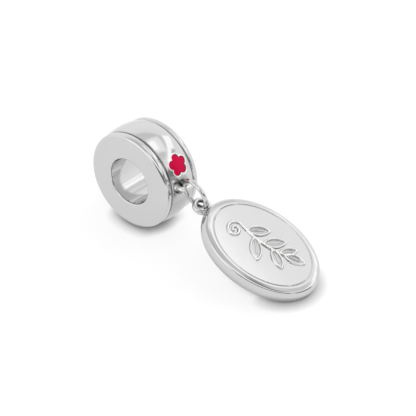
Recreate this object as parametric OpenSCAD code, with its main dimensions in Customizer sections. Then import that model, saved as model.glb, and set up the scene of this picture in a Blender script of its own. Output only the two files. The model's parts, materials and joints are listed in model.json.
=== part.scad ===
// A silver dangle charm: a drum bead with a wide bore for a bracelet, a red enamel
// flower set in its band, a loop on its side, and an oval pendant on a jump ring.
// It lies on a flat surface. +X runs from the bead to the pendant's tip, +Y runs
// along the bead's bore, +Z is up. The origin is the bottom centre of its box.

/* [Bead] */
// Diameter over the crown of the band
band_d = 10.02; // [9.6:0.02:10.6]
// Length of the bead along its bore
bead_w = 4.5; // [4.2:0.1:5]
// Radius of the crown across the band
crown_r = 6; // [5.6:0.1:8]
// Width of the crowned band between the two grooves
band_w = 2.8; // [2.6:0.1:3]
// Depth of each plain rim below the crown
rim_drop = 0.18; // [0.12:0.02:0.26]
// Depth of each groove below the rim
groove_depth = 0.2; // [0.1:0.02:0.3]
// Width of the bottom of each groove
groove_w = 0.12; // [0.06:0.02:0.2]
// Rounding of the rims' outer edges
edge_r = 0.36; // [0.2:0.02:0.4]
// Diameter of the bore
bore_d = 4.7; // [4.2:0.1:5.4]
// Rounding of the bore's two mouths
mouth_r = 0.2; // [0.1:0.05:0.3]

/* [Enamel flower] */
// Angle of the flower round the band, up from the side of the pendant
flower_angle = 37; // [34:1:60]
// Number of petals
petals = 5; // [5:1:6]
// Distance from the flower's centre to a petal's centre
petal_ring_r = 0.62; // [0.56:0.02:0.7]
// Radius of one petal
petal_r = 0.44; // [0.38:0.02:0.48]
// Radius of the flower's middle
heart_r = 0.5; // [0.4:0.05:0.6]
// Turn of the flower about its own centre
flower_turn = 36; // [0:1:72]
// Depth of the recess that holds the enamel
recess_depth = 0.5; // [0.4:0.05:0.7]
// Depth of the enamel below the band's crown at its top face
enamel_drop = 0.04; // [0.02:0.01:0.1]
// Gap between the enamel and the recess
enamel_gap = 0.03; // [0.02:0.01:0.05]

/* [Loop on the bead] */
// Angle of the loop round the band, up from the side of the pendant
loop_angle = 15.5; // [10:0.5:16]
// Place of the loop along the bore, from the band's middle
loop_shift = -0.28; // [-0.3:0.01:0.1]
// Thickness of the loop's wire
loop_wire = 0.44; // [0.4:0.02:0.5]
// Clear height between the band and the loop's bar
loop_gap = 0.7; // [0.66:0.02:0.8]
// Clear width between the loop's legs
loop_open = 1.12; // [1:0.02:1.3]

/* [Jump ring] */
// Diameter over the ring
ring_d = 3.36; // [3.2:0.02:3.5]
// Thickness of the ring's wire
ring_wire = 0.44; // [0.4:0.01:0.46]
// Slope of the ring below level where it leaves the loop
ring_slope = 8; // [6:1:14]
// Lean of the ring out of the upright, towards the bead's far face
ring_lean = 7; // [4:1:10]
// Turn of the ring about the upright, towards the bead's near face
ring_turn = 7.5; // [4:0.5:9]

/* [Pendant] */
// Length of the oval, without its bail
oval_l = 12.32; // [11.5:0.02:13.5]
// Width of the oval
oval_w = 8.6; // [8:0.02:9.5]
// Thickness of the oval
oval_t = 1.7; // [1.5:0.05:2]
// Width of the rounded rim round the flat panel
rim_w = 0.66; // [0.5:0.01:0.8]
// Height of the oval's widest line above its back
girth_h = 1; // [0.9:0.05:1.1]
// Set-back of the back face's edge from the oval's widest line
back_in = 0.24; // [0.16:0.02:0.3]
// Depth of the fine line round the panel
line_depth = 0.06; // [0.04:0.01:0.1]
// Width of the fine line round the panel
line_w = 0.14; // [0.1:0.02:0.2]
// Diameter of the bail's hole
bail_hole_d = 0.94; // [0.9:0.02:1]
// Thickness of the bail's wire
bail_wire = 0.44; // [0.4:0.02:0.5]
// Length of the bail, from the end of the oval to the middle of its hole
bail_l = 0.58; // [0.56:0.02:0.8]
// Height of the bail
bail_h = 0.6; // [0.5:0.05:0.7]
// Place of the bail on the ring, down from level
bail_angle = 53; // [48:1:60]
// Distance of the bail's hole inside the ring's own centre line
bail_slack = 0.12; // [0.08:0.02:0.14]
// Turn of the pendant about the upright, away from the bead's near face
pendant_yaw = 9.2; // [6:0.2:10]
// Roll of the pendant about its own length, its near side down
pendant_roll = 3.7; // [2:0.1:5]

/* [Raised leaf design] */
// Height of the raised lines above the panel
relief_h = 0.16; // [0.1:0.02:0.2]
// Width of the raised lines
relief_w = 0.26; // [0.2:0.02:0.3]
// Length of the sprig along the panel
sprig_l = 6.2; // [5.6:0.1:6.6]

/* [Hidden] */
$fn = 96;

// Overlap of shapes that are joined
weld = 0.1;

// The bead's own sizes
band_r = band_d / 2;
rim_r = band_r - rim_drop;
bead_half = bead_w / 2;
groove_r = rim_r - groove_depth;
rim_from = band_w / 2 + groove_w;
crown_c = band_r - crown_r;

// The bead stands on its crown and on its far rim's edge, which sets its tilt
edge_c = rim_r - edge_r - crown_c;
edge_s = bead_half - edge_r;
bead_tilt = atan2(edge_s, edge_c) - acos((crown_r - edge_r) / norm([edge_c, edge_s]));
bead_z = crown_r + crown_c * cos(bead_tilt);

// The loop's own sizes
bar_r = band_r + loop_gap + loop_wire / 2;
leg_s = (loop_open + loop_wire) / 2;
bend_r = loop_wire / 2 + weld;
leg_root = 0.4;

// The ring passes through the middle of the loop's clear space
ring_r = (ring_d - ring_wire) / 2;
pass_r = band_r + loop_gap / 2;
pass_p = bead_point(pass_r, loop_angle, loop_shift);
ring_c = pass_p + ring_r * ring_way(-ring_slope);
hole_c = ring_c + (ring_r - bail_slack) * ring_way(-bail_angle);

// The pendant's own sizes, with radii as shares of the oval's half length and half width
half_l = oval_l / 2;
half_w = oval_w / 2;
panel_share = 1 - rim_w / half_w;
back_share = 1 - back_in / half_w;
line_share = line_w / half_w;
hole_x = half_l + bail_l;
neck_w = 1.1;
edge_steps = 8;

// The sprig's stem is an arc whose radius is this share of the sprig, and its leaves stand along it:
// share of the stem's length from its middle, side, leaf length as a share of the sprig, turn from the stem
stem_bend = 1.4;
stem_r = sprig_l * stem_bend;
LEAVES = [
    [-0.26, 1, 0.36, 50],
    [-0.1, -1, 0.38, 46],
    [0.06, 1, 0.36, 44],
    [0.22, -1, 0.33, 40],
    [0.34, 1, 0.28, 38],
    [0.42, 0, 0.32, 0]
];
// A leaf's half width and the length of its middle rib, as shares of its length
leaf_slim = 0.21;
rib_share = 0.72;
// The scroll at the stem's foot: radius as a share of the sprig, each turn a half circle
SCROLL = [0.12, 0.08, 0.045];
scroll_at = -0.37;
sprig_shift = -0.4;

// The pendant hangs by its hole and rests on the lower edge of its tip
pitch = find_pitch(0, 60, 24);
AXES = [turned([1, 0, 0]), turned([0, 1, 0]), turned([0, 0, 1])];
pendant_p = hole_c - turned([-hole_x, 0, oval_t / 2]);

// The whole charm's box, which puts the origin under its middle
max_x = pendant_p[0] + oval_reach(0, 1);
max_y = pendant_p[1] + oval_reach(1, 1);
min_y = pendant_p[1] - oval_reach(1, -1);
origin = [(max_x - band_r) / 2, (max_y + min_y) / 2, 0];

// A point of the bead, by its radius, its angle up from the pendant's side and its place on the bore
function bead_point(r, a, s) = [
    r * cos(a),
    s * cos(bead_tilt) + r * sin(a) * sin(bead_tilt),
    bead_z + r * sin(a) * cos(bead_tilt) - s * sin(bead_tilt)
];

// A direction in the ring's plane, up from level
function ring_way(a) = let (y = -sin(a) * sin(ring_lean)) [
    cos(a) * cos(ring_turn) + y * sin(ring_turn),
    y * cos(ring_turn) - cos(a) * sin(ring_turn),
    sin(a) * cos(ring_lean)
];

// A direction of the pendant turned as it lies
function turned(v) = let (
    y = v[1] * cos(pendant_roll) - v[2] * sin(pendant_roll),
    z = v[1] * sin(pendant_roll) + v[2] * cos(pendant_roll),
    x = v[0] * cos(pitch) + z * sin(pitch)
) [
    x * cos(pendant_yaw) - y * sin(pendant_yaw),
    x * sin(pendant_yaw) + y * cos(pendant_yaw),
    z * cos(pitch) - v[0] * sin(pitch)
];

// Depth of the oval's lowest point below the bail's hole at a pitch
function depth_at(a) = let (side = norm([half_l * sin(a), half_w * sin(pendant_roll) * cos(a)]))
    hole_x * sin(a) + max([for (q = side_profile())
        q[0] * side - (q[1] - oval_t / 2) * cos(pendant_roll) * cos(a)]);

// The pitch at which the oval's lowest point meets the surface, halving a range a number of times
function find_pitch(low, high, times) = let (mid = (low + high) / 2)
    times == 0 ? mid
    : depth_at(mid) < hole_c[2] ? find_pitch(mid, high, times - 1)
    : find_pitch(low, mid, times - 1);

// Reach of the oval along one of the row's axes, to its upper (1) or lower (-1) side
function oval_reach(i, way) = let (side = norm([half_l * AXES[0][i], half_w * AXES[1][i]]))
    max([for (q = side_profile()) q[0] * side + way * q[1] * AXES[2][i]]);

// The oval's side, as share of its half size and height, from the back up to the panel
function side_profile() = concat(
    [for (i = [0:edge_steps]) let (a = 90 * i / edge_steps)
        [back_share + (1 - back_share) * sin(a), girth_h * (1 - cos(a))]],
    [for (i = [1:edge_steps]) let (a = 90 * i / edge_steps)
        [panel_share + (1 - panel_share) * cos(a), girth_h + (oval_t - girth_h) * sin(a)]]
);

// Places a bead part: its own Z is the bore and its own X points at an angle up from the pendant
module on_bead() {
    translate([-origin[0], -origin[1], bead_z]) rotate([-bead_tilt, 0, 0]) rotate([-90, 0, 0]) children();
}

// Section of the bead from the bore out to the rims, without the crown
module wall_section() {
    rim_in = rim_r - edge_r;
    polygon([[bore_d / 2 + mouth_r, -bead_half], [rim_in, -bead_half],
        [rim_in, bead_half], [bore_d / 2 + mouth_r, bead_half]]);
    translate([bore_d / 2, mouth_r - bead_half]) square([mouth_r + weld, bead_w - 2 * mouth_r]);
    translate([rim_in - weld, edge_r - bead_half]) square([groove_r - rim_in + weld, bead_w - 2 * edge_r]);
    for (s = [-1, 1]) {
        translate([bore_d / 2 + mouth_r, s * (bead_half - mouth_r)]) circle(mouth_r);
        translate([rim_in, s * edge_s]) circle(edge_r);
        polygon([[groove_r - weld, s * rim_from], [groove_r, s * rim_from],
            [rim_r, s * (rim_from + groove_w)], [rim_r, s * edge_s], [groove_r - weld, s * edge_s]]);
    }
}

// Section of the crowned band, lowered by a given amount
module crown_section(drop) {
    intersection() {
        translate([crown_c, 0]) circle(crown_r - drop, $fn = 240);
        translate([bore_d / 2 + mouth_r, -band_w / 2]) square([band_r, band_w]);
    }
}

// Outline of the flower, grown by a given amount
module flower_outline(grow) {
    circle(heart_r + grow);
    for (i = [0:petals - 1]) rotate(360 * i / petals) translate([petal_ring_r, 0]) circle(petal_r + grow);
}

// The flower's prism, standing on a given radius of the bead
module flower_prism(from, grow) {
    rotate([0, 0, -flower_angle]) translate([from, 0, 0]) rotate([0, 90, 0]) rotate(flower_turn)
        linear_extrude(band_r) flower_outline(grow);
}

// The staple of wire on the bead's side that the ring passes through
module loop() {
    rotate([0, 0, -loop_angle]) translate([0, 0, loop_shift]) {
        translate([bar_r, 0, bend_r - leg_s]) cylinder(h = 2 * (leg_s - bend_r), d = loop_wire);
        for (s = [0, 1]) mirror([0, 0, s]) {
            translate([band_r - leg_root, 0, leg_s]) rotate([0, 90, 0])
                cylinder(h = bar_r - bend_r - band_r + leg_root, d = loop_wire);
            translate([bar_r - bend_r, 0, leg_s - bend_r]) rotate([-90, 0, 0]) rotate([0, 0, -90])
                rotate_extrude(angle = 90) translate([bend_r, 0]) circle(d = loop_wire);
        }
    }
}

// The drum bead with its bore, crowned band, two plain rims and soldered loop
module bead() {
    color("silver") on_bead() {
        difference() {
            rotate_extrude() {
                wall_section();
                crown_section(0);
            }
            flower_prism(band_r - recess_depth, 0);
        }
        loop();
    }
}

// The red enamel that fills the flower, just below the band's crown
module enamel_flower() {
    color("crimson") on_bead() intersection() {
        flower_prism(band_r - recess_depth + enamel_gap, -enamel_gap);
        rotate_extrude() crown_section(enamel_drop);
    }
}

// The jump ring, through the loop and the bail
module jump_ring() {
    color("silver") translate(ring_c - origin) rotate([90 + ring_lean, 0, -ring_turn])
        rotate_extrude() translate([ring_r, 0]) circle(d = ring_wire, $fn = 48);
}

// Places a pendant part: its own +X runs to the tip, its own Z is up from its flat back
module on_pendant() {
    translate(pendant_p - origin) rotate([pendant_roll, pitch, pendant_yaw]) children();
}

// The oval plate with its rounded rim and the fine line round its panel
module oval_plate() {
    scale([half_l, half_w, 1]) rotate_extrude() polygon(concat(
        [[0, 0]],
        side_profile(),
        [[panel_share - line_share / 2, oval_t - line_depth], [panel_share - line_share, oval_t], [0, oval_t]]
    ));
}

// The bail: a loop of wire with a neck that runs into the oval's end
module bail() {
    bail_r = (bail_hole_d + bail_wire) / 2;
    translate([-hole_x, 0, oval_t / 2]) difference() {
        union() {
            rotate_extrude() polygon([for (a = [0:20:340])
                [bail_r + bail_wire / 2 * cos(a), bail_h / 2 * sin(a)]]);
            translate([bail_r, -neck_w / 2, -bail_h / 2]) cube([bail_l, neck_w, bail_h]);
        }
        cylinder(h = bail_h + weld, d = bail_hole_d, center = true);
    }
}

// A curved stroke: an arc of a given radius from one angle to another, with round ends
module arc_stroke(r, from, to) {
    steps = 4;
    difference() {
        intersection() {
            circle(r + relief_w / 2);
            polygon(concat([[0, 0]], [for (i = [0:steps]) let (a = from + i * (to - from) / steps)
                2 * r * [cos(a), sin(a)]]));
        }
        circle(r - relief_w / 2);
    }
    for (a = [from, to]) rotate(a) translate([r, 0]) circle(d = relief_w);
}

// A leaf's outline from its foot at the origin out along X, with two arcs that meet in points
module leaf_shape(length, width) {
    r = (length * length / 4 + width * width / 4) / width;
    intersection() {
        translate([length / 2, r - width / 2]) circle(r);
        translate([length / 2, width / 2 - r]) circle(r);
    }
}

// An outlined leaf with its middle rib. The hollow is set in by a line's width at the sides
module leaf(length) {
    width = 2 * leaf_slim * length;
    hollow_w = width - 2 * relief_w;
    hollow_l = length * hollow_w / width;
    difference() {
        leaf_shape(length, width);
        translate([(length - hollow_l) / 2, 0]) leaf_shape(hollow_l, hollow_w);
    }
    translate([0, -relief_w / 4]) square([rib_share * length, relief_w / 2]);
}

// Places what stands at a share of the stem's length, with the stem along X there
module on_stem(share) {
    translate([0, stem_r]) rotate(share * sprig_l / stem_r * 180 / PI) translate([0, -stem_r]) children();
}

// The raised sprig: a bent stem with leaves, and a scroll at its foot
module sprig() {
    stem_turn = sprig_l / stem_r * 180 / PI;
    wide = SCROLL[0] * sprig_l;
    mid = SCROLL[1] * sprig_l;
    small = SCROLL[2] * sprig_l;
    translate([0, stem_r]) arc_stroke(stem_r, scroll_at * stem_turn - 90, LEAVES[5][0] * stem_turn - 90);
    for (f = LEAVES) on_stem(f[0]) rotate(f[1] * f[3]) leaf(f[2] * sprig_l);
    on_stem(scroll_at) {
        translate([0, -wide]) arc_stroke(wide, 90, 270);
        translate([0, mid - 2 * wide]) arc_stroke(mid, -90, 90);
        translate([0, 2 * mid - 2 * wide - small]) arc_stroke(small, 90, 270);
    }
}

// The pendant: plate, bail and raised sprig in one casting
module pendant() {
    color("gainsboro") on_pendant() {
        oval_plate();
        bail();
        translate([sprig_shift, 0, oval_t - weld]) linear_extrude(relief_h + weld) sprig();
    }
}

bead();
enamel_flower();
jump_ring();
pendant();
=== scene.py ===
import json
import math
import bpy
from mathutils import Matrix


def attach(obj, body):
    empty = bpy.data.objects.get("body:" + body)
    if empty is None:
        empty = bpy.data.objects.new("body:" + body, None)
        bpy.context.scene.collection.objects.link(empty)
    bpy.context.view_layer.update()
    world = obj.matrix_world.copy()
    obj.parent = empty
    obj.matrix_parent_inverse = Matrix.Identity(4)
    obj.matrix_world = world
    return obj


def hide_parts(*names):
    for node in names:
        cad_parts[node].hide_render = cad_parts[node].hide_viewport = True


bl_info = {
    "name": "Dangle Charm",
    "version": (1, 0, 0),
    "blender": (4, 5, 0),
    "location": "3D View > Sidebar > Charm",
    "description": "Dresses a silver dangle charm: a drum bead, a jump ring and an oval pendant",
    "category": "Object",
}

import bmesh
import bpy
import numpy as np
from bpy.props import FloatProperty, FloatVectorProperty, IntProperty, PointerProperty
from mathutils import Matrix, Vector

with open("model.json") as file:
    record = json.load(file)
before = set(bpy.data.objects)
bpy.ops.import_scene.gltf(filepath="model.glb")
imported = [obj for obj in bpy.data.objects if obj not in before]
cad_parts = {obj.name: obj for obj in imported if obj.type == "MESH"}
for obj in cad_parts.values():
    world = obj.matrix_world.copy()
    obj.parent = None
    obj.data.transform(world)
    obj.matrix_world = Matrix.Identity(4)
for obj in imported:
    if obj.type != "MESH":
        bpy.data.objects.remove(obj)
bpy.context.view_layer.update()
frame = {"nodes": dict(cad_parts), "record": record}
BORE = next(m for m in frame["record"]["mounts"] if m["name"] == "bore")
TAU = 2 * math.pi


def length(name, description, millimetres):
    """A length property, whose default is given in millimetres."""
    return FloatProperty(
        name=name, description=description, default=millimetres / 1000, min=0, unit="LENGTH", precision=5
    )


def angle(name, description, degrees):
    """An angle property, whose default is given in degrees."""
    return FloatProperty(name=name, description=description, default=math.radians(degrees), subtype="ANGLE")


def share(name, description, value):
    """A property without a unit, from 0 to 1."""
    return FloatProperty(name=name, description=description, default=value, min=0, max=1, subtype="FACTOR")


def colour(name, description, value):
    """A colour property."""
    return FloatVectorProperty(
        name=name, description=description, default=value, size=3, min=0, max=1, subtype="COLOR"
    )


class BeadSizes(bpy.types.PropertyGroup):
    """Sizes of the drum bead"""

    band_d: length("Band diameter", "Diameter over the crown of the band", 10.01)
    width: length("Bead width", "Length of the bead along its bore", 4.5)
    crown_r: length("Crown radius", "Radius of the crown across the band", 6.0)
    band_w: length("Band width", "Width of the crowned band between the grooves", 2.8)
    rim_drop: length("Rim drop", "Depth of each plain rim below the crown", 0.18)
    groove_depth: length("Groove depth", "Depth of each groove below the rim", 0.2)
    groove_w: length("Groove width", "Width of the bottom of each groove", 0.12)
    edge_r: length("Edge rounding", "Rounding of the rims' outer edges", 0.36)
    bore_d: length("Bore diameter", "Diameter of the bore", 4.7)
    mouth_r: length("Mouth rounding", "Rounding of the bore's two mouths", 0.15)
    steps: IntProperty(name="Steps", description="Steps round the bead", default=256, min=64, max=360)


class FlowerSizes(bpy.types.PropertyGroup):
    """Sizes of the enamel flower"""

    place: angle("Place", "Angle of the flower round the band, up from the pendant's side", 37)
    petals: IntProperty(name="Petals", description="Number of petals", default=5, min=4, max=7)
    reach: length("Petal reach", "From the flower's centre to a petal's centre", 0.62)
    petal_r: length("Petal radius", "Radius of one petal", 0.44)
    heart_r: length("Heart radius", "Radius of the flower's middle", 0.5)
    turn: angle("Turn", "Turn of the flower about its own centre", 36)
    depth: length("Recess depth", "Depth of the recess below the crown", 0.5)
    drop: length("Enamel drop", "Depth of the enamel's edge below the crown", 0.06)
    dome: length("Enamel dome", "Rise of the enamel's middle over its edge", 0.03)
    gap: length("Enamel gap", "Gap between the enamel and the recess", 0.03)
    lip: length("Lip", "Thickness of the fine silver lip round the flower", 0.1)


class LinkSizes(bpy.types.PropertyGroup):
    """Sizes of the loop on the bead and of the jump ring"""

    place: angle("Place", "Angle of the loop round the band, up from the pendant's side", 15.5)
    shift: FloatProperty(
        name="Shift", description="Place of the loop along the bore", default=-0.00028, unit="LENGTH",
        precision=5,
    )
    loop_wire: length("Loop wire", "Thickness of the loop's wire", 0.44)
    loop_gap: length("Loop gap", "Clear height between the band and the loop's bar", 0.7)
    loop_open: length("Loop opening", "Clear width between the loop's legs", 1.12)
    foot: length("Solder foot", "Extra radius of each leg where it is soldered on", 0.05)
    ring_d: length("Ring diameter", "Diameter over the jump ring", 3.36)
    ring_wire: length("Ring wire", "Thickness of the jump ring's wire", 0.44)
    seam: length("Seam", "Depth of the fine seam where the jump ring is closed", 0.012)


class PendantSizes(bpy.types.PropertyGroup):
    """Sizes of the oval pendant"""

    oval_l: length("Oval length", "Length of the oval without its bail", 12.32)
    oval_w: length("Oval width", "Width of the oval", 8.585)
    oval_t: length("Thickness", "Thickness of the oval", 1.7)
    rim_w: length("Rim width", "Width of the rounded rim round the panel", 0.66)
    girth_h: length("Girth height", "Height of the widest line above the back", 1.0)
    back_in: length("Back inset", "Set-back of the back face's edge from the widest line", 0.24)
    crest_in: length("Crest inset", "Distance of the rim's crest inside the widest line", 0.2)
    crest_drop: length("Crest drop", "Depth of the rim's crest below the panel", 0.12)
    edge_w: length("Edge width", "Width of the narrow flat edge under the rim's crest", 0.18)
    crest_r: length("Crest rounding", "Rounding of the rim's crest", 0.3)
    dome: length("Dome", "Slight swell of the panel at its middle", 0.05)
    line_depth: length("Line depth", "Depth of the fine line round the panel", 0.06)
    line_w: length("Line width", "Width of the fine line round the panel", 0.14)
    hole_d: length("Hole diameter", "Diameter of the bail's hole", 0.94)
    bail_wire: length("Bail wire", "Thickness of the bail's wire", 0.44)
    bail_h: length("Bail height", "Height of the bail", 0.6)
    bail_l: length("Bail length", "From the end of the oval to the middle of the bail's hole", 0.58)
    neck_w: length("Neck width", "Width of the neck behind the bail", 1.1)


class SprigSizes(bpy.types.PropertyGroup):
    """Sizes of the raised leaf sprig"""

    height: length("Line height", "Height of the raised lines above the panel", 0.2)
    width: length("Line width", "Width of the raised lines", 0.3)
    span: length("Span", "Length of the sprig along the panel", 6.2)
    shift: FloatProperty(
        name="Shift", description="Place of the sprig along the panel", default=-0.0004, unit="LENGTH",
        precision=5,
    )
    bend: FloatProperty(name="Bend", description="Stem's radius as a share of the span", default=1.4, min=0.8)
    slim: share("Slimness", "Half width of a leaf as a share of its length", 0.21)
    facet: share("Facet", "Rise of a leaf's facets as a share of the line's height", 0.45)


class Finishes(bpy.types.PropertyGroup):
    """Colours of the finishes"""

    silver: colour("Silver", "Reflection colour of the polished silver", (0.62, 0.62, 0.624))
    enamel: colour("Enamel", "Colour of the red enamel", (0.68, 0.0005, 0.06))
    floor: colour("Floor", "Colour of the pale floor", (0.26, 0.26, 0.26))
    glow: share("Glow", "Brightness of the lit table under the charm", 0.77)


class WearAndPaintedLight(bpy.types.PropertyGroup):
    """Polish and dents, with painted shade and a painted highlight"""

    rough: share("Roughness", "Roughness of the polished silver", 0.08)
    dents: share("Dents", "Strength of the small dents", 0.25)
    # Painted shade: the next six darken grooves, underside, insides, the pendant's low side and the lines'
    # foot
    near_groove: share("Near groove", "Tarnish in the bead's groove on the near side", 0.3)
    far_groove: share("Far groove", "Tarnish in the bead's groove on the far side", 0.8)
    under_band: share("Under the band", "Tarnish on the band below the loop", 0.35)
    inside_loop: share("Inside the loop", "Tarnish inside the loop and the bail", 0.85)
    inside_ring: share("Inside the ring", "Tarnish inside the jump ring", 0.8)
    low_side: share("Low side", "Tarnish at the foot of the pendant's side", 0.8)
    relief_foot: share("Relief foot", "Tarnish along the foot of the raised lines", 0.5)
    # Painted highlight: a whiter shine on the loop
    loop_shine: share("Loop shine", "Whiter shine of the loop", 0.5)


class StageSettings(bpy.types.PropertyGroup):
    """Floor, light and camera"""

    reach: length("Floor reach", "Half the side of the square floor", 600)
    # Reaches of the painted shadow in the floor's glow
    contact: length("Contact shade", "Reach of the dark line where a piece stands on the floor", 1.2)
    cover: length("Covered shade", "Reach of the shade on the floor under the charm", 5)
    key_watts: FloatProperty(name="Key light", description="Power of the soft key light", default=0.16, min=0)
    azimuth: angle("Azimuth", "Turn of the camera round the charm", 40.74)
    elevation: angle("Elevation", "Angle of the camera above the floor", 42.46)
    distance: length("Distance", "Distance from the camera to what it aims at", 153.8)
    view: angle("Field of view", "Angle of view of the camera", 15)
    aim_x: length("Aim across", "What the camera aims at, along X from the bore's middle", 4.256)
    aim_y: length("Aim along", "What the camera aims at, along Y from the bore's middle", 4.252)


GROUPS = {
    "charm_bead": BeadSizes,
    "charm_flower": FlowerSizes,
    "charm_link": LinkSizes,
    "charm_pendant": PendantSizes,
    "charm_sprig": SprigSizes,
    "charm_finish": Finishes,
    "charm_wear": WearAndPaintedLight,
    "charm_stage": StageSettings,
}

# Each leaf: share of the stem from its middle, side, length as a share of the span, turn in degrees
LEAVES = (
    (-0.26, 1, 0.36, 50),
    (-0.10, -1, 0.38, 46),
    (0.06, 1, 0.36, 44),
    (0.22, -1, 0.33, 40),
    (0.34, 1, 0.28, 38),
    (0.42, 0, 0.32, 0),
)
# The scroll at the stem's foot: radius of each half turn as a share of the span
SCROLL = (0.12, 0.08, 0.045)
SCROLL_AT = -0.37
STEM_END = 0.42

# Steps round the flower's recess and lip, and steps and rings of its enamel
RECESS_STEPS = 200
ENAMEL_STEPS = 240
ENAMEL_RINGS = 14
# Rings of the pendant's panel, and steps round the pendant and the jump ring
PANEL_RINGS = 126
PENDANT_STEPS = 480
RING_STEPS = 160

# A hair's breadth, for tests of which surface a point lies on
HAIR = 0.00001
# How far out from the bore's wall the marks on the band begin, and how far above it those on the loop
OFF_BORE = 0.001
OFF_BAND = 0.00006
# How far the loop's legs run into the band, how wide its bends are inside, and how fast its solder feet thin
LOOP_ROOT = 0.0004
LOOP_BEND = 0.0001
FOOT_FADE = 0.00009
# How far a tool reaches past what it cuts, and how far the neck of the bail runs into the oval
OVERCUT = 0.001
NECK_IN = 0.0007
# Reach of the painted shade inside the loop, and the part of the jump ring that rubs in the loop with the
# width where that fades
LOOP_INSIDE = 0.0011
RUB_REACH = 0.0018
RUB_FADE = 0.0005


def sizes(name):
    """The settings group of that name."""
    return getattr(bpy.context.scene, name)


def as_matrix(x, y, z, origin):
    """A place whose axes are x, y and z."""
    m = Matrix((x, y, z)).transposed().to_4x4()
    m.translation = origin
    return m


def bead_place():
    """The bead's place: its own Y runs along the bore and its own X towards the pendant."""
    y = Vector(BORE["axis"]).normalized()
    x = (Vector((1, 0, 0)) - y * y.x).normalized()
    return as_matrix(x, y, x.cross(y), Vector(BORE["pos_m"]))


def node_arrays(node):
    """Corners of a CAD node's faces, with each face's area and normal."""
    mesh = frame["nodes"][node].data
    mesh.calc_loop_triangles()
    co = np.array([v.co for v in mesh.vertices])
    corners = co[np.array([t.vertices[:] for t in mesh.loop_triangles])]
    cross = np.cross(corners[:, 1] - corners[:, 0], corners[:, 2] - corners[:, 0])
    size = np.linalg.norm(cross, axis=1)
    keep = size > 0
    return corners[keep], size[keep] / 2, cross[keep] / size[keep, None]


def main_axes(corners, areas):
    """Middle of a set of faces and their axes, from the longest spread to the shortest."""
    middles = corners.mean(1)
    middle = (middles * areas[:, None]).sum(0) / areas.sum()
    off = middles - middle
    spread, axes = np.linalg.eigh((off * areas[:, None]).T @ off)
    order = np.argsort(-spread)
    return Vector(middle), [Vector(axes[:, i]) for i in order]


def pendant_place():
    """The pendant's place, from its CAD node's flat back: X runs to its tip and Z up from its back."""
    corners, areas, normals = node_arrays("pendant")
    down = np.round(normals, 3)
    kinds, which = np.unique(down, axis=0, return_inverse=True)
    total = np.bincount(which.ravel(), areas) * (kinds[:, 2] < 0)
    back = which.ravel() == total.argmax()
    middle, axes = main_axes(corners[back], areas[back])
    z = -Vector(normals[back][0])
    x = axes[0] if axes[0].x > 0 else -axes[0]
    x = (x - z * z.dot(x)).normalized()
    return as_matrix(x, z.cross(x), z, middle)


def ring_place():
    """The jump ring's place, from its CAD node: its own Z is the ring's axis."""
    middle, axes = main_axes(*node_arrays("jump_ring")[:2])
    z = axes[2]
    x = (Vector((1, 0, 0)) - z * z.x).normalized()
    return as_matrix(x, z.cross(x), z, middle)


def new_object(name, points, edges=(), faces=()):
    """A mesh object in the scene."""
    mesh = bpy.data.meshes.new(name)
    mesh.from_pydata([tuple(p) for p in points], [tuple(e) for e in edges], [tuple(f) for f in faces])
    mesh.validate()
    obj = bpy.data.objects.new(name, mesh)
    bpy.context.scene.collection.objects.link(obj)
    return obj


def chain_edges(count, closed):
    """Edges that join a row of points."""
    return [(i, (i + 1) % count) for i in range(count if closed else count - 1)]


def apply_all(obj):
    """Turns an object's modifiers into its own plain mesh."""
    bpy.context.view_layer.update()
    depsgraph = bpy.context.evaluated_depsgraph_get()
    mesh = bpy.data.meshes.new_from_object(obj.evaluated_get(depsgraph))
    obj.modifiers.clear()
    old = obj.data
    obj.data = mesh
    bpy.data.meshes.remove(old)
    mesh.name = obj.name
    return obj


def tidy(obj, sharp_degrees):
    """Merges doubles, turns the faces outwards and shades smooth up to an angle."""
    work = bmesh.new()
    work.from_mesh(obj.data)
    bmesh.ops.remove_doubles(work, verts=work.verts, dist=1e-7)
    bmesh.ops.recalc_face_normals(work, faces=work.faces)
    work.to_mesh(obj.data)
    work.free()
    obj.data.shade_smooth()
    obj.data.set_sharp_from_angle(angle=math.radians(sharp_degrees))
    return obj


def skin_faces(rows, count):
    """Faces of a closed skin over rows of count points, with one point before the rows and one after them."""
    pairs = [(i, (i + 1) % count) for i in range(count)]
    faces = [(0, 1 + i, 1 + j) for i, j in pairs]
    for k in range(rows - 1):
        a, c = 1 + k * count, 1 + (k + 1) * count
        faces += [(a + i, c + i, c + j, a + j) for i, j in pairs]
    last = 1 + (rows - 1) * count
    return faces + [(last + count, last + j, last + i) for i, j in pairs]


def only_material(obj, material):
    """Gives every face of an object one material."""
    obj.data.materials.clear()
    obj.data.materials.append(material)
    obj.data.polygons.foreach_set("material_index", [0] * len(obj.data.polygons))


def mark_points(obj, name, values):
    """Marks an object's points with a value from 0 to 1, which the silver reads."""
    marks = obj.data.attributes.get(name) or obj.data.attributes.new(name, "FLOAT", "POINT")
    marks.data.foreach_set("value", np.clip(values, 0, 1).astype(np.float32))


def own_points(obj, place):
    """An object's points as rows, in the given place's own axes."""
    points = np.array([v.co for v in obj.data.vertices])
    back = np.array(place.inverted())
    return points @ back[:3, :3].T + back[:3, 3]


def mark_inside(obj, point, reach, amount):
    """Marks painted shade on what faces a point from near by, as the inside of a ring does."""
    co = np.array([v.co for v in obj.data.vertices])
    normals = np.array([v.normal for v in obj.data.vertices])
    off = np.array(point) - co
    far = np.linalg.norm(off, axis=1)
    facing = (normals * off).sum(1) / np.maximum(far, 1e-9)
    old = np.zeros(len(co), np.float32)
    if "painted_shade" in obj.data.attributes:
        obj.data.attributes["painted_shade"].data.foreach_get("value", old)
    mark_points(obj, "painted_shade", np.maximum(old, (far < reach) * np.clip((facing - 0.1) / 0.5, 0, 1) * amount))


def finish_piece(obj, material, slot, *nodes):
    """Gives a piece its material and ties it to the frame."""
    only_material(obj, material)
    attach(obj, "root")
    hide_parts(*nodes)
    return obj


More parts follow.
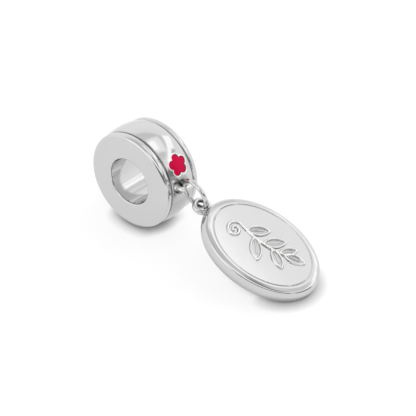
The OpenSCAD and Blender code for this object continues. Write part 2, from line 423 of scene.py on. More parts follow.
def arc(centre, radius, start, end, count):
    """Points on an arc, with the angles in degrees."""
    turns = np.radians(np.linspace(start, end, count))
    return [(centre[0] + radius * math.cos(a), centre[1] + radius * math.sin(a)) for a in turns]


def rounded(corners, spacing):
    """A row of points through corners given as (x, y, rounding), with long runs divided."""
    points = []
    for i, (x, y, r) in enumerate(corners):
        if r == 0 or i in (0, len(corners) - 1):
            points.append(Vector((x, y)))
            continue
        here = Vector((x, y))
        a = (Vector(corners[i - 1][:2]) - here).normalized()
        b = (Vector(corners[i + 1][:2]) - here).normalized()
        half = a.angle(b) / 2
        centre = here + (a + b).normalized() * (r / math.sin(half))
        start = here + a * (r / math.tan(half)) - centre
        sweep = math.pi - 2 * half
        if a.x * b.y - a.y * b.x > 0:
            sweep = -sweep
        count = max(4, int(abs(sweep) * r / spacing) + 2)
        for k in range(count):
            points.append(centre + Matrix.Rotation(sweep * k / (count - 1), 2) @ start)
    full = []
    for p, q in zip(points, points[1:]):
        count = max(1, int((q - p).length / (4 * spacing)))
        full += [p.lerp(q, k / count) for k in range(count)]
    return full + [points[-1]]


def set_inputs(tree, node, inputs):
    """Sets a node's inputs. One that is given another node's output is linked to it."""
    for key, value in inputs.items():
        if isinstance(value, bpy.types.NodeSocket):
            tree.links.new(value, node.inputs[key])
        else:
            node.inputs[key].default_value = value


def add_node(tree, kind, inputs=None, **values):
    """Adds a node to a tree, with its properties and its inputs set."""
    node = tree.nodes.new(kind)
    for key, value in values.items():
        setattr(node, key, value)
    set_inputs(tree, node, inputs or {})
    return node


class Tree:
    """A geometry node tree under construction."""

    def __init__(self, name, inputs):
        self.tree = bpy.data.node_groups.new(name, "GeometryNodeTree")
        face = self.tree.interface
        face.new_socket("Geometry", in_out="INPUT", socket_type="NodeSocketGeometry")
        face.new_socket("Geometry", in_out="OUTPUT", socket_type="NodeSocketGeometry")
        for label, kind in inputs:
            face.new_socket(label, in_out="INPUT", socket_type=kind)
        self.start = add_node(self.tree, "NodeGroupInput").outputs

    def add(self, kind, output, inputs, **values):
        """Adds a node and gives its named output."""
        return add_node(self.tree, kind, inputs, **values).outputs[output]

    def close(self, geometry):
        """Ends the tree: smooth shading, real geometry and the material."""
        smooth = self.add("GeometryNodeSetShadeSmooth", "Geometry", {"Geometry": geometry})
        real = self.add("GeometryNodeRealizeInstances", "Geometry", {"Geometry": smooth})
        painted = {"Geometry": real, "Material": self.start["Material"]}
        paint = self.add("GeometryNodeSetMaterial", "Geometry", painted)
        add_node(self.tree, "NodeGroupOutput", {"Geometry": paint})
        return self.tree


def turning_tree():
    """A tree that turns the object's own profile round a circle."""
    tree = Tree("turn_a_profile", (
        ("Radius", "NodeSocketFloat"), ("Steps", "NodeSocketInt"), ("Material", "NodeSocketMaterial"),
    ))
    profile = tree.add("GeometryNodeMeshToCurve", "Curve", {"Mesh": tree.start["Geometry"]})
    circle = {"Resolution": tree.start["Steps"], "Radius": tree.start["Radius"]}
    path = tree.add("GeometryNodeCurvePrimitiveCircle", "Curve", circle, mode="RADIUS")
    return tree.close(tree.add("GeometryNodeCurveToMesh", "Mesh", {"Curve": path, "Profile Curve": profile}))


def wire_tree():
    """A tree that runs a round wire along the object's own line, as thick as each point says."""
    tree = Tree("run_a_wire", (("Sides", "NodeSocketInt"), ("Material", "NodeSocketMaterial")))
    line = tree.add("GeometryNodeMeshToCurve", "Curve", {"Mesh": tree.start["Geometry"]})
    thick = tree.add("GeometryNodeInputNamedAttribute", "Attribute", {"Name": "thick"}, data_type="FLOAT")
    circle = {"Resolution": tree.start["Sides"], "Radius": 1}
    section = tree.add("GeometryNodeCurvePrimitiveCircle", "Curve", circle, mode="RADIUS")
    swept = {"Curve": line, "Profile Curve": section, "Scale": thick, "Fill Caps": True}
    return tree.close(tree.add("GeometryNodeCurveToMesh", "Mesh", swept))


def grow(obj, tree, **values):
    """Runs a tree on an object with the given inputs, and keeps the result as a plain mesh."""
    modifier = obj.modifiers.new(tree.name, "NODES")
    modifier.node_group = tree
    for item in tree.interface.items_tree:
        if item.in_out == "INPUT" and item.name in values:
            modifier[item.identifier] = values[item.name]
    return apply_all(obj)


def wire(name, points, thick, closed, sides):
    """A round silver wire along a row of points. thick is its radius, for all points or for each."""
    obj = new_object(name, points, chain_edges(len(points), closed))
    values = np.broadcast_to(np.asarray(thick, float), len(points))
    obj.data.attributes.new("thick", "FLOAT", "POINT").data.foreach_set("value", values.astype(np.float32))
    tree = bpy.data.node_groups.get("run_a_wire") or wire_tree()
    return grow(obj, tree, Sides=sides, Material=silver())


def use_up(obj):
    """Removes an object with its mesh."""
    mesh = obj.data
    bpy.data.objects.remove(obj)
    bpy.data.meshes.remove(mesh)


def cut(obj, tool, operation):
    """Cuts an object with a second one or makes them one. The second one is used up."""
    modifier = obj.modifiers.new("cut", "BOOLEAN")
    modifier.operation = operation
    modifier.solver = "EXACT"
    modifier.object = tool
    apply_all(obj)
    use_up(tool)
    return obj


def join(obj, other):
    """Adds a second object's shell to an object. The second one is used up."""
    work = bmesh.new()
    work.from_mesh(obj.data)
    work.from_mesh(other.data)
    work.to_mesh(obj.data)
    work.free()
    use_up(other)
    return obj


def new_material(name):
    """A new material, with its tree and its shader."""
    made = bpy.data.materials.new(name)
    made.use_nodes = True
    return made, made.node_tree, made.node_tree.nodes["Principled BSDF"]


def colour_ramp(tree, source, stops):
    """A colour ramp through stops, each given as its place and colour."""
    node = add_node(tree, "ShaderNodeValToRGB", {"Fac": source})
    elements = node.color_ramp.elements
    while len(elements) < len(stops):
        elements.new(0.5)
    for element, (at, tint) in zip(elements, stops):
        element.position = at
        element.color = tint
    return node.outputs["Color"]


def polished_silver(name, base, rough, pits):
    """Polished silver with hairline scratches and small dents. Marked points get a painted highlight, a whiter
    and rougher shine, or painted shade, dull and dark; points marked satin are blasted matt."""
    made, tree, shader = new_material(name)
    place = add_node(tree, "ShaderNodeTexCoord").outputs["Object"]

    def noise(scale, detail, turn=None, stretch=None):
        vector = place
        if stretch:
            turned = {"Vector": place, "Rotation": turn, "Scale": stretch}
            vector = add_node(tree, "ShaderNodeMapping", turned).outputs["Vector"]
        inputs = {"Vector": vector, "Scale": scale, "Detail": detail}
        return add_node(tree, "ShaderNodeTexNoise", inputs).outputs["Fac"]

    def spread(source, low, high, to_low=0, to_high=1):
        inputs = {"Value": source, "From Min": low, "From Max": high, "To Min": to_low, "To Max": to_high}
        return add_node(tree, "ShaderNodeMapRange", inputs).outputs["Result"]

    def blend(kind, factor, first, second):
        at, result = (6, 2) if kind == "RGBA" else (2, 0)
        inputs = {0: factor, at: first, at + 1: second}
        return add_node(tree, "ShaderNodeMix", inputs, data_type=kind).outputs[result]

    def mark(label):
        return add_node(tree, "ShaderNodeAttribute", attribute_name=label).outputs["Fac"]

    def darker(part):
        return (base[0] * part, base[1] * part, base[2] * part, 1)

    clouds = spread(noise(700, 3), 0.35, 0.65)
    shine = blend("RGBA", clouds, darker(0.985), darker(1.0))
    # Painted shade: marked points turn dark
    shine = blend("RGBA", mark("painted_shade"), shine, darker(0.3))
    shine = blend("RGBA", mark("satin"), shine, darker(0.86))
    gloss = spread(noise(5200, 6), 0.3, 0.7, rough * 0.8, rough * 1.5)
    gloss = blend("FLOAT", mark("satin"), gloss, rough * 3.2)
    hairlines = spread(noise(900, 2, (0.3, 0.5, 0.9), (1, 14, 14)), 0.64, 0.7)
    crossing = spread(noise(800, 2, (0.9, 0.2, -0.6), (14, 1, 14)), 0.65, 0.7)
    both = add_node(tree, "ShaderNodeMath", {0: hairlines, 1: crossing}, operation="MAXIMUM")
    dents = add_node(tree, "ShaderNodeBump", {"Height": noise(420, 4), "Strength": pits, "Distance": 0.00002})
    scratches = add_node(tree, "ShaderNodeBump", {
        "Height": both.outputs["Value"], "Normal": dents.outputs["Normal"], "Strength": pits * 0.5,
        "Distance": 0.000003,
    }, invert=True)
    set_inputs(tree, shader, {
        "Metallic": 1,
        # Painted highlight: marked points get a whiter, rougher shine
        "Base Color": blend("RGBA", mark("painted_highlight"), shine, (0.93, 0.92, 0.9, 1)),
        "Roughness": blend("FLOAT", mark("painted_highlight"), gloss, rough * 2.6),
        "Normal": scratches.outputs["Normal"],
    })
    return made


def glossy_enamel(name, base):
    """Fired enamel: a deep colour with a slight cloud in it, under a clear gloss."""
    made, tree, shader = new_material(name)
    place = add_node(tree, "ShaderNodeTexCoord").outputs["Object"]
    cloud = add_node(tree, "ShaderNodeTexNoise", {"Vector": place, "Scale": 900, "Detail": 3}).outputs["Fac"]
    deep = (base[0] * 0.85, base[1] * 0.5, base[2] * 0.8, 1)
    set_inputs(tree, shader, {
        "Base Color": colour_ramp(tree, cloud, ((0.35, deep), (0.65, (*base, 1)))),
        "Roughness": 0.35,
        "Specular IOR Level": 0.06,
        "Coat Weight": 0.05,
        "Coat Roughness": 0.05,
    })
    return made


def silver():
    """The silver of all the cast and drawn pieces."""
    wear_and_painted_light = sizes("charm_wear")
    found = bpy.data.materials.get("polished_silver")
    return found or polished_silver("polished_silver", sizes("charm_finish").silver, wear_and_painted_light.rough, wear_and_painted_light.dents)


def bead_profile(b):
    """The bead's section as (radius, place along the bore), closed, from the bore's middle out and back."""
    crown_c = b.band_d / 2 - b.crown_r
    half = b.width / 2
    rim_r = b.band_d / 2 - b.rim_drop
    groove_r = rim_r - b.groove_depth
    edge = b.band_w / 2
    rim_from = edge + b.groove_w
    crown = []
    for k in range(13):
        s = (edge - HAIR) * (1 - k / 12)
        crown.append((crown_c + math.sqrt(b.crown_r**2 - s * s), s, 0))
    corners = [
        (b.bore_d / 2, 0, 0),
        (b.bore_d / 2, half, b.mouth_r),
        (rim_r, half, b.edge_r),
        (rim_r, rim_from + b.groove_w, 0.00006),
        (groove_r, rim_from, 0.00004),
        (groove_r, edge, 0.00003),
        (crown[0][0], edge, 0.00004),
    ] + crown[1:]
    upper = rounded(corners, 0.00005)
    lower = [Vector((p.x, -p.y)) for p in reversed(upper[1:-1])]
    return upper + lower


def turned_matrix():
    """Takes a piece turned about Z to the bead's place."""
    return bead_place() @ Matrix(((1, 0, 0, 0), (0, 0, 1, 0), (0, -1, 0, 0), (0, 0, 0, 1)))


def crown_height(b, s, t):
    """Distance from the bore's axis, square to the flower's plane, of the crown at a place of that plane."""
    crown_c = b.band_d / 2 - b.crown_r
    return np.sqrt((crown_c + np.sqrt(b.crown_r**2 - s * s)) ** 2 - t * t)


def flower_outline(f, grow_by, count):
    """The flower's outline as (along the bore, up round the band). Unturned, its first petal points down."""
    turns = np.linspace(0, TAU, count, endpoint=False)
    reach = np.full(count, f.heart_r + grow_by)
    r = f.petal_r + grow_by
    for k in range(f.petals):
        off = turns - TAU * k / f.petals
        inside = r * r - (f.reach * np.sin(off)) ** 2
        hit = (inside > 0) & (np.cos(off) > 0)
        petal = f.reach * np.cos(off) + np.sqrt(np.maximum(inside, 0))
        reach = np.where(hit, np.maximum(reach, petal), reach)
    turns = turns + f.turn
    return reach * np.sin(turns), -reach * np.cos(turns)


def flower_point(f, out, s, t):
    """A point of the bead by its distance out, square to the flower's plane, and its place in that plane."""
    across = Vector((math.cos(f.place), 0, math.sin(f.place)))
    up = Vector((-math.sin(f.place), 0, math.cos(f.place)))
    return bead_place() @ (across * float(out) + Vector((0, 1, 0)) * float(s) + up * float(t))


def recess_tool(b, f):
    """A flower-shaped prism that cuts the recess."""
    s, t = flower_outline(f, 0, RECESS_STEPS)
    ends = (b.band_d / 2 - f.depth, b.band_d / 2 + OVERCUT)
    points = [flower_point(f, out, x, y) for out in ends for x, y in zip(s, t)]
    count = RECESS_STEPS
    faces = [tuple(reversed(range(count))), tuple(range(count, 2 * count))]
    faces += [(i, (i + 1) % count, count + (i + 1) % count, count + i) for i in range(count)]
    return tidy(new_object("recess", points, (), faces), 30)


def lip_line(b, f):
    """The middle of the fine silver lip round the flower, sunk a little under half into the crown."""
    wire_r = f.lip / 2
    s, t = flower_outline(f, wire_r, RECESS_STEPS)
    out = crown_height(b, s, t) - wire_r * 0.45
    return [flower_point(f, o, x, y) for o, x, y in zip(out, s, t)]


def loop_line(b, k):
    """The staple's line on the bead's side, with its radius at each point."""
    bar = b.band_d / 2 + k.loop_gap + k.loop_wire / 2
    leg = (k.loop_open + k.loop_wire) / 2
    bend = k.loop_wire / 2 + LOOP_BEND
    root = b.band_d / 2 - LOOP_ROOT
    side = [(root + (bar - bend - root) * i / 16, leg) for i in range(16)]
    side += arc((bar - bend, leg - bend), bend, 90, 0, 10)
    line = side + [(x, -s) for x, s in reversed(side)]
    out = Vector((math.cos(k.place), 0, math.sin(k.place)))
    points = [bead_place() @ (out * x + Vector((0, s + k.shift, 0))) for x, s in line]
    over = np.array([x - b.band_d / 2 for x, s in line])
    thick = k.loop_wire / 2 + k.foot * np.exp(-np.maximum(over, 0) / FOOT_FADE)
    return points, thick


def loop_middle(b, k):
    """The middle of the loop's opening, in the bead's own place."""
    out = b.band_d / 2 + k.loop_gap / 2
    return Vector((out * math.cos(k.place), k.shift, out * math.sin(k.place)))


def cast_drum(b, f, k):
    """The drum with its bore, grooves and flower recess, the soldered loop and the lip round the flower."""
    path_r = b.bore_d / 2
    line = [(p.x - path_r, -p.y, 0) for p in bead_profile(b)]
    drum = new_object("drum_bead", line, chain_edges(len(line), True))
    grow(drum, turning_tree(), Radius=path_r, Steps=b.steps, Material=silver())
    drum.data.transform(turned_matrix())
    tidy(drum, 40)
    cut(drum, recess_tool(b, f), "DIFFERENCE")
    lip = wire("lip", lip_line(b, f), f.lip / 2, True, 10)
    points, thick = loop_line(b, k)
    cut(drum, tidy(wire("staple", points, thick, False, 28), 40), "UNION")
    return tidy(join(drum, lip), 32)


def paint_drum_shade_and_highlight(drum, b, f, k):
    """Marks painted shade in the grooves, under the band and inside the loop, and a painted highlight on the
    lip and the loop.
    """
    wear_and_painted_light = sizes("charm_wear")
    own = own_points(drum, bead_place())
    out, along = np.hypot(own[:, 0], own[:, 2]), np.abs(own[:, 1])
    outside = out > b.bore_d / 2 + OFF_BORE
    # Painted shade in the grooves, heavier in the far groove
    depth = b.groove_depth * 0.4
    floor_r = b.band_d / 2 - b.rim_drop - depth
    in_groove = outside & (along > b.band_w / 2 - HAIR) & (along < b.band_w / 2 + b.groove_w * 1.6)
    side = np.where(own[:, 1] > 0, wear_and_painted_light.far_groove, wear_and_painted_light.near_groove)
    grooves = in_groove * side * (floor_r - out) / depth
    # Painted shade on the band below the loop
    round_at = np.degrees(np.arctan2(own[:, 2], own[:, 0]))
    under = np.clip((8 - round_at) / 14, 0, 1) * np.clip((round_at + 110) / 20, 0, 1)
    under *= outside & (along < b.band_w / 2) & (out < b.band_d / 2 + 2 * HAIR)
    mark_points(drum, "painted_shade", np.maximum(grooves, under * wear_and_painted_light.under_band))
    # Painted highlight on the lip round the flower and on the loop
    lip = np.array([bead_place().inverted() @ p for p in lip_line(b, f)])
    off = np.array([np.linalg.norm(lip - point, axis=1).min() for point in own])
    on_loop = out > b.band_d / 2 + OFF_BAND
    mark_points(drum, "painted_highlight", np.maximum(off < f.lip * 0.56, on_loop * wear_and_painted_light.loop_shine))
    # Painted shade inside the loop
    mark_inside(drum, bead_place() @ loop_middle(b, k), LOOP_INSIDE, wear_and_painted_light.inside_loop)


class CHARM_OT_bead(bpy.types.Operator):
    """Turns the drum bead with its bore, grooves and flower recess, and solders the loop to it"""

    bl_idname = "charm.bead"
    bl_label = "Bead"

    def execute(self, context):
        settings = [sizes(name) for name in ("charm_bead", "charm_flower", "charm_link")]
        drum = cast_drum(*settings)
        paint_drum_shade_and_highlight(drum, *settings)
        finish_piece(drum, silver(), "silver", "bead")
        return {"FINISHED"}


class CHARM_OT_enamel(bpy.types.Operator):
    """Fills the flower's recess with glossy red enamel"""

    bl_idname = "charm.enamel"
    bl_label = "Enamel flower"

    def execute(self, context):
        b = sizes("charm_bead")
        f = sizes("charm_flower")
        count, rings = ENAMEL_STEPS, ENAMEL_RINGS
        s, t = flower_outline(f, -f.gap, count)
        low = b.band_d / 2 - f.depth + f.gap
        points = [flower_point(f, crown_height(b, 0.0, 0.0) - f.drop + f.dome, 0, 0)]
        for k in range(1, rings + 1):
            part = k / rings
            top = crown_height(b, s * part, t * part) - f.drop + f.dome * (1 - part**4)
            points += [flower_point(f, o, x, y) for o, x, y in zip(top, s * part, t * part)]
        points += [flower_point(f, low, x, y) for x, y in zip(s, t)]
        points.append(flower_point(f, low, 0, 0))
        flower = tidy(new_object("enamel_petals", points, (), skin_faces(rings + 1, count)), 50)
        finish_piece(flower, glossy_enamel("enamel", sizes("charm_finish").enamel), "enamel", "enamel_flower")
        return {"FINISHED"}


class CHARM_OT_ring(bpy.types.Operator):
    """Bends the jump ring, with the fine seam where it is closed"""

    bl_idname = "charm.ring"
    bl_label = "Jump ring"

    def execute(self, context):
        k = sizes("charm_link")
        radius = (k.ring_d - k.ring_wire) / 2
        turns = np.linspace(0, TAU, RING_STEPS, endpoint=False)
        place = ring_place()
        points = [place @ Vector((radius * math.cos(a), radius * math.sin(a), 0)) for a in turns]
        thick = np.full(RING_STEPS, k.ring_wire / 2)
        thick[RING_STEPS // 8] -= k.seam
        ring = tidy(wire("jump_ring_wire", points, thick, True, 32), 60)
        # Painted shade inside the jump ring
        mark_inside(ring, place.translation, k.ring_d, sizes("charm_wear").inside_ring)
        off = own_points(ring, bead_place()) - np.array(loop_middle(sizes("charm_bead"), k))
        mark_points(ring, "satin", (RUB_REACH - np.linalg.norm(off, axis=1)) / RUB_FADE)
        finish_piece(ring, silver(), "silver", "jump_ring")
        return {"FINISHED"}


def along_arc(x, y, centre, radius, start, end):
    """Distance of points from an arc given by angles in degrees."""
    dx, dy = x - centre[0], y - centre[1]
    middle = math.radians((start + end) / 2)
    half = math.radians(abs(end - start) / 2)
    off = (np.arctan2(dy, dx) - middle + math.pi) % TAU - math.pi
    near = np.clip(off, -half, half) + middle
    return np.hypot(dx - radius * np.cos(near), dy - radius * np.sin(near))


def off_stem(x, y, g, at, turn_by=0.0):
    """Points as (along, across) from a place on the sprig's stem, whose direction is turned by an angle."""
    radius = g.span * g.bend
    turn = at * g.span / radius
    dx, dy = x - radius * math.sin(turn), y - (radius - radius * math.cos(turn))
    turn += turn_by
    return dx * math.cos(turn) + dy * math.sin(turn), dy * math.cos(turn) - dx * math.sin(turn)


def leaf_field(x, y, g, at, side, size, degrees):
    """For a leaf: distance to its outline, depth inside it, distance to its rib, and fall of its facets."""
    u, v = off_stem(x, y, g, at, side * math.radians(degrees))
    run = size * g.span
    w = g.slim * run
    r = (run * run / 4 + w * w) / (2 * w)
    upper = r - np.hypot(u - run / 2, v + (r - w))
    lower = r - np.hypot(u - run / 2, v - (r - w))
    inside = np.minimum(upper, lower)
    gap = np.where(inside > 0, inside, np.hypot(np.minimum(upper, 0), np.minimum(lower, 0)))
    rib = np.hypot(np.clip(np.abs(u - 0.36 * run) - 0.36 * run, 0, None), v)
    fall = np.clip(np.abs(v) / w, 0, 1)
    return gap, inside, rib, fall


def sprig_height(x, y, g):
    """Height of the raised leaf sprig over the panel, and whether a point is on a leaf's blade."""
    x = x - g.shift
    half = g.width / 2

    def line(distance, width):
        return g.height * np.clip(1 - (distance / width) ** 2, 0, 1) ** 0.7

    radius = g.span * g.bend
    turn = math.degrees(g.span / radius)
    top = line(along_arc(x, y, (0, radius), radius, SCROLL_AT * turn - 90, STEM_END * turn - 90), half)
    u, v = off_stem(x, y, g, SCROLL_AT)
    a, b, c = (q * g.span for q in SCROLL)
    top = np.maximum(top, line(along_arc(u, v, (0, -a), a, 90, 270), half))
    top = np.maximum(top, line(along_arc(u, v, (0, -2 * a + b), b, -90, 90), half))
    top = np.maximum(top, line(along_arc(u, v, (0, -2 * a + 2 * b - c), c, 90, 270), half))
    blade = np.zeros_like(top)
    for leaf in LEAVES:
        gap, inside, rib, fall = leaf_field(x, y, g, *leaf)
        facet = np.where(inside > 0, g.height * g.facet * (1 - 0.8 * fall), 0)
        edge = line(gap, half * 0.8)
        middle = line(rib, half * 0.6) * 0.85
        top = np.maximum(top, np.maximum(facet, np.maximum(edge, np.where(inside > 0, middle, 0))))
        blade = np.maximum(blade, np.where((inside > half * 0.5) & (middle < g.height * 0.1), 1, 0))
    return top, blade


def oval_rows(p):
    """Rows of the oval from the panel's middle over the rim to the back's middle, as (share of its half size,
    height). The rim is a flat bevel, a crisp crest and a rounded side."""
    panel = 1 - p.rim_w / (p.oval_w / 2)
    back = 1 - p.back_in / (p.oval_w / 2)
    line = p.line_w / (p.oval_w / 2)
    inner = panel - line
    rings = [k / PANEL_RINGS for k in range(1, PANEL_RINGS + 1)]
    rows = [(inner * q, p.oval_t + p.dome * (1 - q**2)) for q in rings]
    for k in range(1, 10):
        q = k / 10
        rows.append((inner + line * q, p.oval_t - p.line_depth * math.sin(math.pi * q) ** 2))
    half = p.oval_w / 2
    crest = p.oval_t - p.crest_drop
    section = rounded((
        (panel * half, p.oval_t, 0),
        (half - p.crest_in, crest, p.crest_r),
        (half - p.crest_in + p.edge_w * 0.49, crest - p.edge_w * 0.87, p.crest_r / 2),
        (half - p.crest_in * 0.12, p.girth_h + (crest - p.girth_h) * 0.2, 0.0003),
        (half, p.girth_h, 0),
    ), 0.00003)
    rows += [(point.x / half, point.y) for point in section]
    for k in range(1, 15):
        a = math.radians(90 * k / 14)
        rows.append((back + (1 - back) * math.cos(a), p.girth_h * (1 - math.sin(a))))
    rows += [(back * q, 0) for q in (0.98, 0.8, 0.5, 0.2)]
    return rows


def bail_wire_piece(p):
    """The bail with its neck, in the pendant's own place."""
    hole_x = -(p.oval_l / 2 + p.bail_l)
    radius = (p.hole_d + p.bail_wire) / 2
    middle = p.oval_t / 2
    turns = np.linspace(0, TAU, 96, endpoint=False)
    points = [(hole_x + radius * math.cos(a), radius * math.sin(a), 0) for a in turns]
    lift = Matrix.Translation((0, 0, middle))
    ring = wire("bail", points, p.bail_wire / 2, True, 28)
    ring.data.transform(lift @ Matrix.Diagonal((1, 1, p.bail_h / p.bail_wire, 1)))
    start, end = hole_x + radius * 0.8, -p.oval_l / 2 + NECK_IN
    steps = 12
    line = [(start + (end - start) * k / steps, 0, 0) for k in range(steps + 1)]
    thick = [p.neck_w / 2 * (0.82 + 0.75 * (k / steps) ** 2) for k in range(steps + 1)]
    neck = wire("neck", line, thick, False, 40)
    neck.data.transform(lift @ Matrix.Diagonal((1, 1, p.bail_h / p.neck_w * 0.95, 1)))
    drill = new_object("drill", ())
    work = bmesh.new()
    bmesh.ops.create_cone(
        work, cap_ends=True, segments=96, radius1=p.hole_d / 2, radius2=p.hole_d / 2,
        depth=p.oval_t + 2 * OVERCUT, matrix=Matrix.Translation((hole_x, 0, middle)),
    )
    work.to_mesh(drill.data)
    work.free()
    cut(tidy(neck, 40), drill, "DIFFERENCE")
    return cut(tidy(ring, 40), neck, "UNION")


def cast_oval(p, g):
    """The oval with its panel, raised sprig, rim and back, and the bail joined on, in its place."""
    turns = np.linspace(0, TAU, PENDANT_STEPS, endpoint=False)
    rows = np.array(oval_rows(p))
    x = p.oval_l / 2 * rows[:, :1] * np.cos(turns)
    y = p.oval_w / 2 * rows[:, :1] * np.sin(turns)
    z = np.broadcast_to(rows[:, 1:], x.shape).copy()
    z[:PANEL_RINGS] += sprig_height(x[:PANEL_RINGS], y[:PANEL_RINGS], g)[0]
    centre = p.oval_t + p.dome + float(sprig_height(np.zeros(1), np.zeros(1), g)[0][0])
    points = [(0, 0, centre)] + list(zip(x.ravel(), y.ravel(), z.ravel())) + [(0, 0, 0)]
    oval = tidy(new_object("oval_pendant", points, (), skin_faces(len(rows), PENDANT_STEPS)), 60)
    cut(oval, tidy(bail_wire_piece(p), 50), "UNION")
    oval.data.transform(pendant_place())
    return tidy(oval, 50)


def mark_oval_satin_and_painted_light(oval, p, g):
    """Marks the matt leaf blades, a painted highlight on the crests of the raised lines, and painted shade at
    their foot, low on the side and inside the bail."""
    wear_and_painted_light = sizes("charm_wear")
    own = own_points(oval, pendant_place())
    reach = np.hypot(own[:, 0] / (p.oval_l / 2), own[:, 1] / (p.oval_w / 2))
    rise, blade = sprig_height(own[:, 0], own[:, 1], g)
    rise = rise / g.height
    on_top = (own[:, 2] > p.oval_t - HAIR) & (reach < 1 - p.rim_w / (p.oval_w / 2))
    mark_points(oval, "satin", np.where(on_top, blade, 0))
    # Painted highlight on the crests of the raised lines
    mark_points(oval, "painted_highlight", np.where(on_top, rise - 0.55, 0) * 2)
    # Painted shade along the foot of the raised lines
    foot = np.exp(-((rise - 0.22) / 0.16) ** 2) * (rise > 0) * wear_and_painted_light.relief_foot
    # Painted shade low on the pendant's side, darker towards its foot
    low = np.clip(1 - own[:, 2] / p.girth_h, 0, 1) ** 1.5 * (reach > 0.85) * wear_and_painted_light.low_side
    mark_points(oval, "painted_shade", np.where(on_top & (blade == 0), foot, low))
    # Painted shade inside the bail
    hole = pendant_place() @ Vector((-p.oval_l / 2 - p.bail_l, 0, p.oval_t / 2))
    mark_inside(oval, hole, p.hole_d / 2 + p.bail_wire, wear_and_painted_light.inside_loop)


class CHARM_OT_pendant(bpy.types.Operator):
    """Casts the oval pendant with its rounded rim, bail and raised leaf sprig"""

    bl_idname = "charm.pendant"
    bl_label = "Pendant"

    def execute(self, context):
        settings = [sizes(name) for name in ("charm_pendant", "charm_sprig")]
        oval = cast_oval(*settings)
        mark_oval_satin_and_painted_light(oval, *settings)
        finish_piece(oval, silver(), "silver", "pendant")
        return {"FINISHED"}


def soft_box(name, place, aim, side, watts):
    """A square soft light that faces a point."""
    data = bpy.data.lights.new(name, "AREA")
    data.shape = "SQUARE"
    data.size = side
    data.energy = watts
    lamp = bpy.data.objects.new(name, data)
    lamp.location = place
    lamp.rotation_euler = (aim - place).to_track_quat("-Z", "Y").to_euler()
    lamp.visible_glossy = False
    bpy.context.scene.collection.objects.link(lamp)
    return lamp


# Where the key light stands, from what the camera aims at, and its side
KEY_AT = Vector((0.12, 0.2, 0.33))
KEY_SIDE = 0.35
# The dome's brightness by height, from the horizon to the top
DOME = ((0.0, 1.08), (0.3, 1.15), (0.6, 1.1), (0.82, 0.98), (0.93, 0.87), (1.0, 0.78))
# Soft boxes and flags of the studio, seen from the charm: azimuth from +X towards +Y, elevation, half width,
# half height, turn and softness in degrees, brightness
PATCHES = (
    (-130, 66, 20, 20, 0, 14, 0.74),
    (112, 50, 32, 7, 12, 4, 0.86),
    (58, 51, 15, 5, -10, 4, 0.86),
    (66, 36, 26, 5, 0, 3, 1.55),
    (61, 31, 4, 2, 0, 3, 0.7),
    (-112, 14, 12, 10, 0, 8, 1.5),
    (-48, 17, 36, 10, 0, 4, 0.24),
    (-47, 48, 18, 15, 0, 5, 1.55),
    (16, 14, 16, 9, 0, 6, 0.3),
    (-12, 56, 12, 10, 20, 7, 0.36),
    (-62, 20, 12, 8, 0, 5, 0.2),
    (80, 58, 15, 9, 0, 5, 1.22),
    (80, 67, 8, 6, 0, 6, 1.55),
)


def patch_tree():
    """A shader group: how far a direction lies inside a soft-edged rectangle of the sky."""
    tree = bpy.data.node_groups.new("soft_patch", "ShaderNodeTree")
    for label in ("Direction", "Middle", "Right", "Up"):
        tree.interface.new_socket(label, in_out="INPUT", socket_type="NodeSocketVector")
    for label in ("Half Width", "Half Height", "Softness"):
        tree.interface.new_socket(label, in_out="INPUT", socket_type="NodeSocketFloat")
    tree.interface.new_socket("Inside", in_out="OUTPUT", socket_type="NodeSocketFloat")
    start = add_node(tree, "NodeGroupInput").outputs

    def calculate(operation, *values):
        node = add_node(tree, "ShaderNodeMath", dict(enumerate(values)), operation=operation)
        return node.outputs["Value"]

    def towards(label):
        both = {0: start["Direction"], 1: start[label]}
        return add_node(tree, "ShaderNodeVectorMath", both, operation="DOT_PRODUCT").outputs["Value"]

    ahead = towards("Middle")
    inside = calculate("GREATER_THAN", ahead, 0.05)
    for label, half in (("Right", "Half Width"), ("Up", "Half Height")):
        off = calculate("ABSOLUTE", calculate("DIVIDE", towards(label), calculate("MAXIMUM", ahead, 0.05)))
        outer = calculate("ADD", start[half], start["Softness"])
        limits = {"Value": off, "From Min": outer, "From Max": start[half]}
        fade = add_node(tree, "ShaderNodeMapRange", limits, interpolation_type="SMOOTHSTEP")
        inside = calculate("MULTIPLY", inside, fade.outputs["Result"])
    add_node(tree, "NodeGroupOutput", {"Inside": inside})
    return tree


def studio_sky():
    """A pale dome with soft patches, which are the studio's soft boxes and dark flags."""
    world = bpy.data.worlds.new("studio")
    world.use_nodes = True
    tree = world.node_tree
    towards = add_node(tree, "ShaderNodeTexCoord").outputs["Generated"]
    height = add_node(tree, "ShaderNodeSeparateXYZ", {"Vector": towards}).outputs["Z"]
    light = colour_ramp(tree, height, [(at, (value, value, value, 1)) for at, value in DOME])
    group = patch_tree()
    for azimuth, elevation, half_width, half_height, turn, softness, brightness in PATCHES:
        az, el = math.radians(azimuth), math.radians(elevation)
        middle = Vector((math.cos(az) * math.cos(el), math.sin(az) * math.cos(el), math.sin(el)))
        right = Matrix.Rotation(math.radians(turn), 3, middle) @ Vector((-math.sin(az), math.cos(az), 0))
        wide, high, soft = (math.tan(math.radians(size)) for size in (half_width, half_height, softness))
        patch = add_node(tree, "ShaderNodeGroup", {
            "Direction": towards, "Middle": middle, "Right": right, "Up": middle.cross(right),
            "Half Width": wide, "Half Height": high, "Softness": soft,
        }, node_tree=group)
        shades = {0: patch.outputs["Inside"], 6: light, 7: (brightness, brightness, brightness, 1)}
        light = add_node(tree, "ShaderNodeMix", shades, data_type="RGBA").outputs[2]
    set_inputs(tree, tree.nodes["Background"], {"Color": light})
    bpy.context.scene.world = world


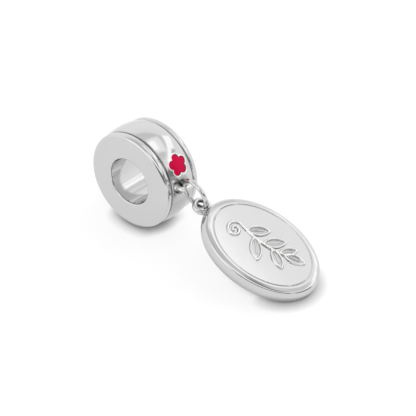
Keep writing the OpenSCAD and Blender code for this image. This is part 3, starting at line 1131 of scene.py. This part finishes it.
def pale_floor_with_painted_shadow(size):
    """A pale lit table top that glows, with painted shadow: its glow is darker where a piece stands on it and
    where the charm covers it.
    """
    finish = sizes("charm_finish")
    corners = [(x * size.reach, y * size.reach, 0) for x, y in ((-1, -1), (1, -1), (1, 1), (-1, 1))]
    floor = new_object("floor", corners, (), [(0, 1, 2, 3)])
    made, tree, shader = new_material("pale_floor_with_painted_shadow")
    # Painted shadow: ambient occlusion dims the floor's glow at contact and under the charm
    contact = add_node(tree, "ShaderNodeAmbientOcclusion", {"Distance": size.contact}).outputs["AO"]
    cover = add_node(tree, "ShaderNodeAmbientOcclusion", {"Distance": size.cover}).outputs["AO"]
    limits = {"Value": cover, "From Min": 0.05, "From Max": 0.42, "To Max": finish.glow}
    lit = add_node(tree, "ShaderNodeMapRange", limits, interpolation_type="SMOOTHSTEP").outputs["Result"]
    glow = add_node(tree, "ShaderNodeMath", {0: contact, 1: lit}, operation="MULTIPLY").outputs["Value"]
    set_inputs(tree, shader, {
        "Base Color": (*finish.floor, 1),
        "Roughness": 0.9,
        "Specular IOR Level": 0.1,
        "Emission Color": (1, 1, 1, 1),
        "Emission Strength": glow,
    })
    only_material(floor, made)


class CHARM_OT_stage(bpy.types.Operator):
    """Sets out the pale floor, the soft lights and the camera"""

    bl_idname = "charm.stage"
    bl_label = "Stage"

    def execute(self, context):
        size = sizes("charm_stage")
        pale_floor_with_painted_shadow(size)
        studio_sky()
        centre = Vector(BORE["pos_m"])
        aim = Vector((centre.x + size.aim_x, centre.y + size.aim_y, 0))
        soft_box("key_light", aim + KEY_AT, aim, KEY_SIDE, size.key_watts)
        flat = math.cos(size.elevation)
        back = Vector((
            math.sin(size.azimuth) * flat, -math.cos(size.azimuth) * flat, math.sin(size.elevation),
        ))
        camera = bpy.data.objects.new("camera", bpy.data.cameras.new("camera"))
        camera.data.angle = size.view
        camera.location = aim + back * size.distance
        camera.rotation_euler = back.to_track_quat("Z", "Y").to_euler()
        camera.data.clip_start = 0.01
        context.scene.collection.objects.link(camera)
        context.scene.camera = camera
        context.scene.view_settings.view_transform = "Standard"
        return {"FINISHED"}


class CHARM_PT_panel(bpy.types.Panel):
    """Lists the charm's pieces and sizes"""

    bl_label = "Charm"
    bl_idname = "CHARM_PT_panel"
    bl_space_type = "VIEW_3D"
    bl_region_type = "UI"
    bl_category = "Charm"

    def draw(self, context):
        for operator in OPERATORS:
            self.layout.operator(operator.bl_idname)
        for name, group in GROUPS.items():
            box = self.layout.box()
            box.label(text=group.__doc__)
            for key in group.__annotations__:
                box.prop(getattr(context.scene, name), key)


OPERATORS = (CHARM_OT_bead, CHARM_OT_enamel, CHARM_OT_ring, CHARM_OT_pendant, CHARM_OT_stage)


def register():
    """Registers the settings, the operators and the panel."""
    for name, group in GROUPS.items():
        bpy.utils.register_class(group)
        setattr(bpy.types.Scene, name, PointerProperty(type=group))
    for operator in OPERATORS:
        bpy.utils.register_class(operator)
    bpy.utils.register_class(CHARM_PT_panel)


def unregister():
    """Takes back what register does."""
    bpy.utils.unregister_class(CHARM_PT_panel)
    for operator in reversed(OPERATORS):
        bpy.utils.unregister_class(operator)
    for name, group in GROUPS.items():
        delattr(bpy.types.Scene, name)
        bpy.utils.unregister_class(group)


def main():
    """Builds every piece and the stage."""
    register()
    bpy.ops.charm.bead()
    bpy.ops.charm.enamel()
    bpy.ops.charm.ring()
    bpy.ops.charm.pendant()
    bpy.ops.charm.stage()


if __name__ == "__main__":
    main()
